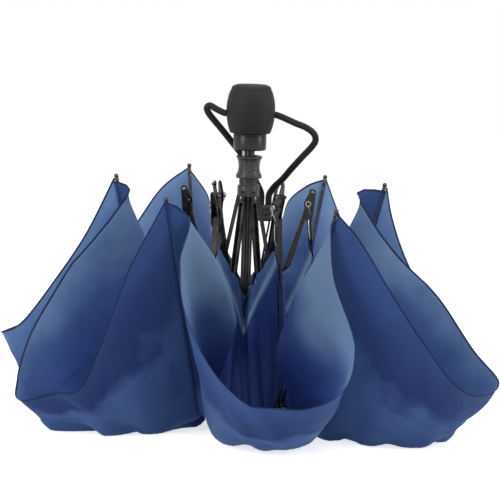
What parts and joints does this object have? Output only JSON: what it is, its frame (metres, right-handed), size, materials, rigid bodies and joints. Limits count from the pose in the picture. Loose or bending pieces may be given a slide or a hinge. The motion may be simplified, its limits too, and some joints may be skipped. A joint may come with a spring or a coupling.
{
  "type": "folding umbrella",
  "caption": "Compact folding umbrella, collapsed but unwrapped: ribs folded in threes, cloth hanging in loose petals, handle up, wrist cord on the grip.",
  "frame": {"origin": "centre of the crown cap's flat end, on the floor that the umbrella stands on", "axes": "+Z along the shaft, from the crown to the handle; +X through rib 1; -Y faces the picture's camera"},
  "size_m": [0.4268, 0.3884, 0.2856],
  "materials": {
    "canopy_cloth": "plain-weave pongee, soft sheen",
    "rib_steel": "gloss black lacquer",
    "tip_bead": "nickel plated",
    "shaft_tube": "satin black paint",
    "black_plastic": "satin moulded",
    "runner_plastic": "moulded, half gloss",
    "grip_rubber": "soft-touch matt",
    "spring_steel": "bright",
    "wrist_cord": "braided",
    "ferrule": "moulded"
  },
  "bodies": {
    "crown": {"outer_tube": "shaft_tube", "crown_notch": "black_plastic", "crown_wire_ring": "spring_steel", "crown_cap": "black_plastic", "crown_washer": "black_plastic", "canopy_panel_1": "canopy_cloth", "canopy_panel_2": "canopy_cloth", "canopy_panel_3": "canopy_cloth", "canopy_panel_4": "canopy_cloth", "canopy_panel_5": "canopy_cloth", "canopy_panel_6": "canopy_cloth"},
    "middle_shaft": {"middle_tube": "shaft_tube"},
    "handle": {"inner_tube": "shaft_tube", "handle_collar": "black_plastic", "handle_grip": "grip_rubber", "handle_pin": "spring_steel", "cord_left": "wrist_cord", "cord_right": "wrist_cord", "cord_ferrule": "ferrule"},
    "runner_unit": {"runner": "runner_plastic", "runner_wire_ring": "spring_steel"},
    "opening_catch": {"opening_catch": "spring_steel"},
    "closing_catch": {"closing_catch": "spring_steel"},
    "main_rib_1": {"main_rib_1": "rib_steel"},
    "stretcher_1": {"stretcher_1": "rib_steel"},
    "link_bar_1": {"link_bar_1": "rib_steel"},
    "middle_rib_1": {"middle_rib_1": "rib_steel"},
    "outer_rib_1": {"outer_rib_1": "rib_steel", "rib_tip_1": "tip_bead"},
    "main_rib_2": {"main_rib_2": "rib_steel"},
    "stretcher_2": {"stretcher_2": "rib_steel"},
    "link_bar_2": {"link_bar_2": "rib_steel"},
    "middle_rib_2": {"middle_rib_2": "rib_steel"},
    "outer_rib_2": {"outer_rib_2": "rib_steel", "rib_tip_2": "tip_bead"},
    "main_rib_3": {"main_rib_3": "rib_steel"},
    "stretcher_3": {"stretcher_3": "rib_steel"},
    "link_bar_3": {"link_bar_3": "rib_steel"},
    "middle_rib_3": {"middle_rib_3": "rib_steel"},
    "outer_rib_3": {"outer_rib_3": "rib_steel", "rib_tip_3": "tip_bead"},
    "main_rib_4": {"main_rib_4": "rib_steel"},
    "stretcher_4": {"stretcher_4": "rib_steel"},
    "link_bar_4": {"link_bar_4": "rib_steel"},
    "middle_rib_4": {"middle_rib_4": "rib_steel"},
    "outer_rib_4": {"outer_rib_4": "rib_steel", "rib_tip_4": "tip_bead"},
    "main_rib_5": {"main_rib_5": "rib_steel"},
    "stretcher_5": {"stretcher_5": "rib_steel"},
    "link_bar_5": {"link_bar_5": "rib_steel"},
    "middle_rib_5": {"middle_rib_5": "rib_steel"},
    "outer_rib_5": {"outer_rib_5": "rib_steel", "rib_tip_5": "tip_bead"},
    "main_rib_6": {"main_rib_6": "rib_steel"},
    "stretcher_6": {"stretcher_6": "rib_steel"},
    "link_bar_6": {"link_bar_6": "rib_steel"},
    "middle_rib_6": {"middle_rib_6": "rib_steel"},
    "outer_rib_6": {"outer_rib_6": "rib_steel", "rib_tip_6": "tip_bead"}
  },
  "joints": [
    {"name": "middle_tube_slide", "type": "slide", "parent": "crown", "child": "middle_shaft", "axis": [0, 0, 1], "range_m": [0, 0.15]},
    {"name": "inner_tube_slide", "type": "slide", "parent": "middle_shaft", "child": "handle", "axis": [0, 0, 1], "range_m": [0, 0.15]},
    {"name": "runner_slide", "type": "slide", "parent": "crown", "child": "runner_unit", "axis": [0, 0, -1], "range_m": [0, 0.07937], "deforming": ["canopy_panel_1", "canopy_panel_2", "canopy_panel_3", "canopy_panel_4", "canopy_panel_5", "canopy_panel_6"]},
    {"name": "opening_catch_hinge", "type": "hinge", "parent": "crown", "child": "opening_catch", "pos_m": [0, 0.005, 0.16623], "axis": [-1, 0, 0], "range_deg": [0, 3.2], "stiffness_Nm_per_rad": 0.02},
    {"name": "closing_catch_hinge", "type": "hinge", "parent": "handle", "child": "closing_catch", "pos_m": [-0.0052, -0.00406, 0.2365], "axis": [-0.6157, 0.788, 0], "range_deg": [0, 4], "stiffness_Nm_per_rad": 0.02},
    {"name": "main_rib_hinge_1", "type": "hinge", "parent": "crown", "child": "main_rib_1", "pos_m": [0.008, 0, 0.026], "axis": [0, 1, 0], "range_deg": [0, 60.96]},
    {"name": "stretcher_hinge_1", "type": "hinge", "parent": "runner_unit", "child": "stretcher_1", "pos_m": [0.0076, 0, 0.193], "axis": [0, -1, 0], "range_deg": [0, 33.94]},
    {"name": "link_bar_slide_1", "type": "slide", "parent": "main_rib_1", "child": "link_bar_1", "axis": [-0.2595, 0, -0.9657], "range_m": [0, 0.017]},
    {"name": "middle_rib_hinge_1", "type": "hinge", "parent": "main_rib_1", "child": "middle_rib_1", "pos_m": [0.051, 0, 0.186], "axis": [0, -1, 0], "range_deg": [0, 169.82]},
    {"name": "outer_rib_hinge_1", "type": "hinge", "parent": "middle_rib_1", "child": "outer_rib_1", "pos_m": [0.066, 0, 0.019], "axis": [0, 1, 0], "range_deg": [0, 149.87]},
    {"name": "main_rib_hinge_2", "type": "hinge", "parent": "crown", "child": "main_rib_2", "pos_m": [0.004, 0.00693, 0.026], "axis": [-0.866, 0.5, 0], "range_deg": [0, 60.96]},
    {"name": "stretcher_hinge_2", "type": "hinge", "parent": "runner_unit", "child": "stretcher_2", "pos_m": [0.0038, 0.00658, 0.193], "axis": [0.866, -0.5, 0], "range_deg": [0, 33.94]},
    {"name": "link_bar_slide_2", "type": "slide", "parent": "main_rib_2", "child": "link_bar_2", "axis": [-0.1298, -0.2248, -0.9657], "range_m": [0, 0.017]},
    {"name": "middle_rib_hinge_2", "type": "hinge", "parent": "main_rib_2", "child": "middle_rib_2", "pos_m": [0.0255, 0.04417, 0.186], "axis": [0.866, -0.5, 0], "range_deg": [0, 169.82]},
    {"name": "outer_rib_hinge_2", "type": "hinge", "parent": "middle_rib_2", "child": "outer_rib_2", "pos_m": [0.033, 0.05716, 0.019], "axis": [-0.866, 0.5, 0], "range_deg": [0, 143.37]},
    {"name": "main_rib_hinge_3", "type": "hinge", "parent": "crown", "child": "main_rib_3", "pos_m": [-0.004, 0.00693, 0.026], "axis": [-0.866, -0.5, 0], "range_deg": [0, 60.96]},
    {"name": "stretcher_hinge_3", "type": "hinge", "parent": "runner_unit", "child": "stretcher_3", "pos_m": [-0.0038, 0.00658, 0.193], "axis": [0.866, 0.5, 0], "range_deg": [0, 33.94]},
    {"name": "link_bar_slide_3", "type": "slide", "parent": "main_rib_3", "child": "link_bar_3", "axis": [0.1298, -0.2248, -0.9657], "range_m": [0, 0.017]},
    {"name": "middle_rib_hinge_3", "type": "hinge", "parent": "main_rib_3", "child": "middle_rib_3", "pos_m": [-0.0255, 0.04417, 0.186], "axis": [0.866, 0.5, 0], "range_deg": [0, 169.82]},
    {"name": "outer_rib_hinge_3", "type": "hinge", "parent": "middle_rib_3", "child": "outer_rib_3", "pos_m": [-0.033, 0.05716, 0.019], "axis": [-0.866, -0.5, 0], "range_deg": [0, 152.87]},
    {"name": "main_rib_hinge_4", "type": "hinge", "parent": "crown", "child": "main_rib_4", "pos_m": [-0.008, 0, 0.026], "axis": [0, -1, 0], "range_deg": [0, 60.96]},
    {"name": "stretcher_hinge_4", "type": "hinge", "parent": "runner_unit", "child": "stretcher_4", "pos_m": [-0.0076, 0, 0.193], "axis": [0, 1, 0], "range_deg": [0, 33.94]},
    {"name": "link_bar_slide_4", "type": "slide", "parent": "main_rib_4", "child": "link_bar_4", "axis": [0.2595, 0, -0.9657], "range_m": [0, 0.017]},
    {"name": "middle_rib_hinge_4", "type": "hinge", "parent": "main_rib_4", "child": "middle_rib_4", "pos_m": [-0.051, 0, 0.186], "axis": [0, 1, 0], "range_deg": [0, 169.82]},
    {"name": "outer_rib_hinge_4", "type": "hinge", "parent": "middle_rib_4", "child": "outer_rib_4", "pos_m": [-0.066, 0, 0.019], "axis": [0, -1, 0], "range_deg": [0, 150.87]},
    {"name": "main_rib_hinge_5", "type": "hinge", "parent": "crown", "child": "main_rib_5", "pos_m": [-0.004, -0.00693, 0.026], "axis": [0.866, -0.5, 0], "range_deg": [0, 60.96]},
    {"name": "stretcher_hinge_5", "type": "hinge", "parent": "runner_unit", "child": "stretcher_5", "pos_m": [-0.0038, -0.00658, 0.193], "axis": [-0.866, 0.5, 0], "range_deg": [0, 33.94]},
    {"name": "link_bar_slide_5", "type": "slide", "parent": "main_rib_5", "child": "link_bar_5", "axis": [0.1298, 0.2248, -0.9657], "range_m": [0, 0.017]},
    {"name": "middle_rib_hinge_5", "type": "hinge", "parent": "main_rib_5", "child": "middle_rib_5", "pos_m": [-0.0255, -0.04417, 0.186], "axis": [-0.866, 0.5, 0], "range_deg": [0, 169.82]},
    {"name": "outer_rib_hinge_5", "type": "hinge", "parent": "middle_rib_5", "child": "outer_rib_5", "pos_m": [-0.033, -0.05716, 0.019], "axis": [0.866, -0.5, 0], "range_deg": [0, 144.87]},
    {"name": "main_rib_hinge_6", "type": "hinge", "parent": "crown", "child": "main_rib_6", "pos_m": [0.004, -0.00693, 0.026], "axis": [0.866, 0.5, 0], "range_deg": [0, 60.96]},
    {"name": "stretcher_hinge_6", "type": "hinge", "parent": "runner_unit", "child": "stretcher_6", "pos_m": [0.0038, -0.00658, 0.193], "axis": [-0.866, -0.5, 0], "range_deg": [0, 33.94]},
    {"name": "link_bar_slide_6", "type": "slide", "parent": "main_rib_6", "child": "link_bar_6", "axis": [-0.1298, 0.2248, -0.9657], "range_m": [0, 0.017]},
    {"name": "middle_rib_hinge_6", "type": "hinge", "parent": "main_rib_6", "child": "middle_rib_6", "pos_m": [0.0255, -0.04417, 0.186], "axis": [-0.866, -0.5, 0], "range_deg": [0, 169.82]},
    {"name": "outer_rib_hinge_6", "type": "hinge", "parent": "middle_rib_6", "child": "outer_rib_6", "pos_m": [0.033, -0.05716, 0.019], "axis": [0.866, 0.5, 0], "range_deg": [0, 141.37]}
  ],
  "couplings": [
    {"joint": "main_rib_hinge_1", "follows": "runner_slide", "rad_per_m": 13.404},
    {"joint": "stretcher_hinge_1", "follows": "runner_slide", "rad_per_m": 7.463},
    {"joint": "middle_rib_hinge_1", "follows": "runner_slide", "rad_per_m": 37.342},
    {"joint": "outer_rib_hinge_1", "follows": "runner_slide", "rad_per_m": 32.954},
    {"joint": "link_bar_slide_1", "follows": "runner_slide", "ratio": 0.21418},
    {"joint": "main_rib_hinge_2", "follows": "runner_slide", "rad_per_m": 13.404},
    {"joint": "stretcher_hinge_2", "follows": "runner_slide", "rad_per_m": 7.463},
    {"joint": "middle_rib_hinge_2", "follows": "runner_slide", "rad_per_m": 37.342},
    {"joint": "outer_rib_hinge_2", "follows": "runner_slide", "rad_per_m": 31.525},
    {"joint": "link_bar_slide_2", "follows": "runner_slide", "ratio": 0.21418},
    {"joint": "main_rib_hinge_3", "follows": "runner_slide", "rad_per_m": 13.404},
    {"joint": "stretcher_hinge_3", "follows": "runner_slide", "rad_per_m": 7.463},
    {"joint": "middle_rib_hinge_3", "follows": "runner_slide", "rad_per_m": 37.342},
    {"joint": "outer_rib_hinge_3", "follows": "runner_slide", "rad_per_m": 33.614},
    {"joint": "link_bar_slide_3", "follows": "runner_slide", "ratio": 0.21418},
    {"joint": "main_rib_hinge_4", "follows": "runner_slide", "rad_per_m": 13.404},
    {"joint": "stretcher_hinge_4", "follows": "runner_slide", "rad_per_m": 7.463},
    {"joint": "middle_rib_hinge_4", "follows": "runner_slide", "rad_per_m": 37.342},
    {"joint": "outer_rib_hinge_4", "follows": "runner_slide", "rad_per_m": 33.174},
    {"joint": "link_bar_slide_4", "follows": "runner_slide", "ratio": 0.21418},
    {"joint": "main_rib_hinge_5", "follows": "runner_slide", "rad_per_m": 13.404},
    {"joint": "stretcher_hinge_5", "follows": "runner_slide", "rad_per_m": 7.463},
    {"joint": "middle_rib_hinge_5", "follows": "runner_slide", "rad_per_m": 37.342},
    {"joint": "outer_rib_hinge_5", "follows": "runner_slide", "rad_per_m": 31.855},
    {"joint": "link_bar_slide_5", "follows": "runner_slide", "ratio": 0.21418},
    {"joint": "main_rib_hinge_6", "follows": "runner_slide", "rad_per_m": 13.404},
    {"joint": "stretcher_hinge_6", "follows": "runner_slide", "rad_per_m": 7.463},
    {"joint": "middle_rib_hinge_6", "follows": "runner_slide", "rad_per_m": 37.342},
    {"joint": "outer_rib_hinge_6", "follows": "runner_slide", "rad_per_m": 31.085},
    {"joint": "link_bar_slide_6", "follows": "runner_slide", "ratio": 0.21418}
  ]
}
